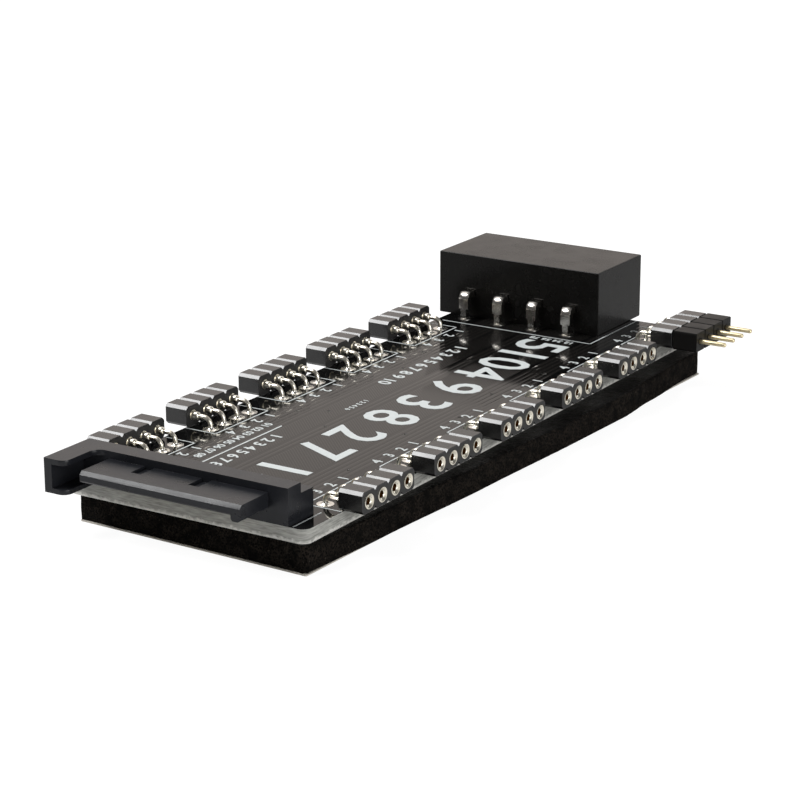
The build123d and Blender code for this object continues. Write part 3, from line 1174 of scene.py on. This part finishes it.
@dataclass
class FoamPad:
    """The foam pad: a blade-cut slab with torn cells along its sides and one bowed side."""

    finishes: Finishes
    width: float = 30.3 * MM
    length: float = 86.5 * MM
    corners: tuple[tuple[int, int, float], ...] = (
        (-1, -1, 0.3 * MM), (1, -1, 0.7 * MM), (1, 1, 0.45 * MM), (-1, 1, 0.6 * MM)
    )
    skew_degrees: float = -1.65
    shift: Pair = (1.92 * MM, -1.54 * MM)
    voxel: float = 0.42 * MM
    tear: float = 0.07 * MM
    cell: float = 0.7 * MM
    bow_start: float = 5.0 * MM
    bow_run: float = 9.0 * MM
    # How far the side bows out at places along the pad: both in millimetres.
    bow: tuple[Pair, ...] = (
        (-44.0, 0.0), (-30.0, 0.5), (-10.0, 1.05), (10.0, 1.35),
        (21.0, 1.38), (29.0, 0.75), (40.0, 0.0), (50.0, 0.0),
    )

    def bulge(self, y: float) -> float:
        """Gives how far the cut side bows out at a place along the pad, in metres."""
        for (start, low), (end, high) in zip(self.bow, self.bow[1:]):
            if start * MM <= y <= end * MM:
                share = (y / MM - start) / (end - start)
                share = share * share * (3.0 - 2.0 * share)
                return (low + (high - low) * share) * MM
        return 0.0

    def cut_slab(self, half_x: float, half_y: float, bottom: float, top: float) -> Piece:
        """Models the plain slab with its rounded corners, as an even net of small faces.

        Args:
            half_x: half its width.
            half_y: half its length.
            bottom: the height of its underside.
            top: the height of its top.

        Returns:
            The slab.
        """
        pad = add_box("foam_slab", (-half_x, -half_y, bottom), (half_x, half_y, top))
        with editing(pad):
            for side, end, radius in self.corners:
                pick_edges(
                    pad, lambda middle, way: abs(way.z) > 0.9 and middle.x * side > 0.9 * half_x
                    and middle.y * end > 0.9 * half_y
                )
                bpy.ops.mesh.bevel(offset=radius, segments=4, affect="EDGES")
        pad.data.remesh_voxel_size = self.voxel
        take(pad)
        bpy.ops.object.voxel_remesh()
        return pad

    def tear_sides(self, pad: Piece, half_x: float, half_y: float, middle_z: float) -> None:
        """Roughens the cut sides, and leaves the top and the bottom flat.

        Args:
            pad: the slab.
            half_x: half its width.
            half_y: half its length.
            middle_z: the height of its middle.
        """
        for vertex in pad.data.vertices:
            place = vertex.co
            out = Vector((place.x / half_x, place.y / half_y, 0.0))
            if max(abs(out.x), abs(out.y)) < 0.985:
                continue
            push = noise.fractal(place / self.cell, 0.8, 2.0, 3)
            vertex.co += out.normalized() * self.tear * max(-1.0, min(1.0, push))
            vertex.co.z += 0.35 * self.tear * push * (1.0 if place.z < middle_z else -1.0)

    def bow_side(self, pad: Piece) -> None:
        """Pushes the right side out along its bow, less and less towards the pad's middle."""
        for vertex in pad.data.vertices:
            share = max(0.0, min(1.0, (vertex.co.x - self.bow_start) / self.bow_run))
            vertex.co.x += share * self.bulge(vertex.co.y)

    def build(self) -> Piece:
        """Models the pad in the space of its plain solid."""
        low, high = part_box("foam_pad")
        half_x, half_y = self.width / 2 - self.tear, self.length / 2 - self.tear
        pad = self.cut_slab(half_x, half_y, low[2], high[2])
        self.tear_sides(pad, half_x, half_y, (low[2] + high[2]) / 2)
        self.bow_side(pad)
        turn = Matrix.Rotation(math.radians(self.skew_degrees), 4, "Z")
        pad.data.transform(Matrix.Translation((*self.shift, 0.0)) @ turn)
        return dress(smooth(pad, 50), self.finishes.foam)


@dataclass
class AdapterPins:
    """The adapter's straight pins with their tapered tips, and the moulded seats round them."""

    finishes: Finishes
    radius: float = 0.28 * MM
    tip: float = 0.18 * MM
    seat_radius: float = 0.5 * MM
    seat_depth: float = 0.3 * MM
    seat_rim: float = 0.1 * MM

    def build(self) -> Piece:
        """Models one pin along +X and copies it to the four cells."""
        low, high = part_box("adapter_pins")
        body_low, body_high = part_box("adapter_body")
        face = body_high[0]
        axis_z = (low[2] + high[2]) / 2
        centre_y = (body_low[1] + body_high[1]) / 2
        pin = add_rod("pin", self.radius, (low[0], 0, 0), (high[0], 0, 0), 20)
        with editing(pin):
            pick_edges(pin, lambda middle, way: abs(way.x) < 0.1)
            bpy.ops.mesh.bevel(offset=self.tip, segments=3, affect="EDGES")
        inner, outer = (face - self.seat_depth, 0, 0), (face + 0.03 * MM, 0, 0)
        seat = add_rod("seat", self.seat_radius, inner, outer, 24)
        with editing(seat):
            pick_faces(seat, lambda middle, way: way.x > FACING)
            bpy.ops.mesh.inset(thickness=self.seat_rim)
            pull_faces((-0.15 * MM, 0, 0), 0.85, (face, 0, 0))
        dress(pin, self.finishes.gilt)
        dress(seat, self.finishes.adapter)
        one = smooth(join_pieces([pin, seat], "adapter_pin"), 40)
        pins = spread(one, "adapter_gilt_pins", (
            Matrix.Translation((0, y, axis_z)) for y in cell_middles(centre_y)
        ))
        bpy.data.objects.remove(one)
        return pins


# ---------------------------------------------------------------- studio


@dataclass(frozen=True)
class PhotoCamera:
    """The camera at the reference view."""

    place: Triple = (151.52 * MM, -242.66 * MM, 92.90 * MM)
    turn_degrees: float = 32.213
    down_degrees: float = 17.195
    roll_degrees: float = -0.101
    lens: float = 113.24
    sensor: float = 36.0

    def build(self) -> None:
        """Adds the camera and makes it the scene's."""
        clear_selection()
        bpy.ops.object.camera_add(location=self.place)
        camera = bpy.context.object
        camera.name = "photo_camera"
        camera.rotation_euler = (
            Matrix.Rotation(math.radians(self.turn_degrees), 4, "Z")
            @ Matrix.Rotation(math.radians(90.0 - self.down_degrees), 4, "X")
            @ Matrix.Rotation(math.radians(self.roll_degrees), 4, "Z")
        ).to_euler()
        camera.data.sensor_width = self.sensor
        camera.data.lens = self.lens
        camera.data.clip_start = 0.01
        camera.data.clip_end = 50.0
        bpy.context.scene.camera = camera


@dataclass(frozen=True)
class Softbox:
    """A square lamp that faces a point."""

    name: str
    place: Triple
    size: float
    watts: float
    colour: Triple = WHITE
    aim: Triple = (0.0, 0.0, 0.0)

    def build(self) -> None:
        """Adds the lamp and turns it to its point."""
        clear_selection()
        bpy.ops.object.light_add(type="AREA", location=self.place)
        lamp = bpy.context.object
        lamp.name = self.name
        lamp.data.size = self.size
        lamp.data.energy = self.watts
        lamp.data.color = self.colour
        run = Vector(self.aim) - Vector(self.place)
        lamp.rotation_euler = run.to_track_quat("-Z", "Y").to_euler()


@dataclass(frozen=True)
class Studio:
    """A white sweep with soft lamps."""

    floor_size: float = 30.0
    floor_drop: float = 0.02 * MM
    floor_colour: Triple = (0.6, 0.6, 0.6)
    seen_colour: Triple = (0.12, 0.12, 0.12)
    seen_glow: float = 0.93
    world_strength: float = 0.1
    lamps: tuple[Softbox, ...] = (
        Softbox("top_softbox", (-0.30, -0.17, 0.46), 0.28, 3.2),
        Softbox("back_softbox", (-0.62, 0.98, 0.42), 1.1, 2.55, (1.0, 0.9, 0.83), (0.0, 0.0, 0.02)),
        Softbox("back_right_softbox", (0.36, 1.0, 0.52), 0.8, 2.2),
        Softbox("overhead_softbox", (-0.4, 0.33, 0.6), 0.5, 1.2),
        Softbox("right_softbox", (0.6, -0.22, 0.2), 0.42, 2.8),
    )

    def build(self) -> None:
        """Adds the floor, the lamps and the world."""
        clear_selection()
        bpy.ops.mesh.primitive_plane_add(size=self.floor_size, location=(0, 0, -self.floor_drop))
        floor = named_active("studio_floor")
        dress(floor, self.floor_finish())
        for lamp in self.lamps:
            lamp.build()
        self.world()
        bpy.context.scene.view_settings.view_transform = "Standard"
        log.info("studio: floor, %d softboxes and a pale world", len(self.lamps))

    def floor_finish(self) -> Material:
        """Builds the floor's finish, a pale table that the camera sees as almost pure white."""
        material, shading, shader, _ = new_material("white sweep")
        seen = shading.node("ShaderNodeLightPath").outputs["Is Camera Ray"]
        shading.fill(shader, {
            "Base Color": shading.blend(seen, self.floor_colour, self.seen_colour),
            "Roughness": 0.8,
            "Emission Color": WHITE,
            "Emission Strength": shading.maths("MULTIPLY", seen, self.seen_glow),
        })
        return material

    def world(self) -> None:
        """Lights the scene evenly and shows white behind it."""
        world = bpy.context.scene.world or bpy.data.worlds.new("white room")
        bpy.context.scene.world = world
        world.use_nodes = True
        shading = Shading(world.node_tree)
        backdrop = next(node for node in world.node_tree.nodes if node.type == "BACKGROUND")
        seen = shading.node("ShaderNodeLightPath").outputs["Is Camera Ray"]
        strength = shading.remap(seen, 0.0, 1.0, self.world_strength, 1.0)
        shading.fill(backdrop, {"Color": WHITE, "Strength": strength})


# ---------------------------------------------------------------- the whole board


@dataclass
class LightingBoard:
    """The whole lighting board, dressed node by node."""

    nodes: dict[str, Piece]
    finishes: Finishes
    block_radius: float = 0.05 * MM

    def strips(self) -> list[StripPlace]:
        """Gives where the ten output strips are, then the input strip."""
        names = [f"output_strip_{index + 1}" for index in range(2 * ROWS_PER_SIDE)]
        return [StripPlace.of_node(name) for name in names + ["input_strip"]]

    def tail_places(self, strip: StripPlace) -> list[Pair]:
        """Gives where a strip's four tails meet the board."""
        x = strip.side.value * (BOARD_HALF_WIDTH - TAIL_INSET)
        return [(x, y) for y in cell_middles(strip.centre_y)]

    def dress_frame(self) -> None:
        """Gives the frame's own nodes their finishes and edge radii."""
        looks = self.finishes
        plain = {
            "circuit_board": (looks.mask, 0.0),
            "release_liner": (looks.liner, 0.0),
            "power_header": (looks.header, 0.16 * MM),
            "slim_plug": (looks.plug, 0.07 * MM),
            "plug_contacts": (looks.gilt, 0.0),
            "input_strip": (looks.strip, self.block_radius),
            "adapter_body": (looks.adapter, self.block_radius),
        }
        for index in range(2 * ROWS_PER_SIDE):
            plain[f"output_strip_{index + 1}"] = (looks.strip, self.block_radius)
        # The header pins take the tin that is painted darker as shade.
        for index in range(HEADER_PINS):
            plain[f"header_pin_{index + 1}"] = (looks.pin, 0.04 * MM)
        for name, (finish, radius) in plain.items():
            dress(self.nodes[name], finish)
            if radius:
                soften_edges(self.nodes[name], radius)

    def add_contacts(self) -> None:
        """Adds the turned contacts and the solder at their feet."""
        contacts = SocketContacts(self.finishes)
        solder = SolderJoints(self.finishes)
        joint = solder.cone("joint_pattern", solder.strip_fillet)
        patterns = {}
        for index, strip in enumerate(self.strips()):
            number = str(index + 1) if index < 2 * ROWS_PER_SIDE else "input"
            node = "input_contacts" if number == "input" else f"output_contacts_{number}"
            shape = (round(strip.face_x / MM, 3), round(strip.axis_z / MM, 3))
            if shape not in patterns:
                overhang = strip.face_x - BOARD_HALF_WIDTH
                patterns[shape] = contacts.pattern(overhang, strip.axis_z - BOARD_TOP)
            made = contacts.strip_set(f"turned_contacts_{number}", patterns[shape], strip)
            report(made, "contact_metal", node)
            made = spread(joint, f"solder_{number}", on_board(self.tail_places(strip)))
            report(made, "tinned_metal")
        for spare in (*patterns.values(), joint):
            bpy.data.objects.remove(spare)

    def add_header_solder(self) -> None:
        """Adds the joints round the power header's pins."""
        solder = SolderJoints(self.finishes)
        joint = solder.cone("header_joint_pattern", solder.header_fillet)
        places = []
        for index in range(HEADER_PINS):
            low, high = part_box(f"header_pin_{index + 1}")
            places.append(((low[0] + high[0]) / 2, low[1] + 0.45 * MM))
        report(spread(joint, "solder_header", on_board(places)), "tinned_metal")
        bpy.data.objects.remove(joint)

    def build(self) -> None:
        """Dresses every part of the board in order."""
        self.dress_frame()
        pad = FoamPad(self.finishes).build()
        report(pad, "foam", "foam_pad")
        self.add_contacts()
        self.add_header_solder()
        report(AdapterPins(self.finishes).build(), "gilt_metal", "adapter_pins")
        report(BoardPrint(self.finishes).build(self.strips()), "liner")
        report(BoardVias(self.finishes).build(), "board")


def main() -> None:
    """Loads the frame, builds the studio and dresses the board."""
    logging.basicConfig(level=logging.INFO, format="%(name)s %(message)s")
    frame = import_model()
    PhotoCamera().build()
    Studio().build()
    LightingBoard(frame["nodes"], Finishes()).build()


if __name__ == "__main__":
    main()
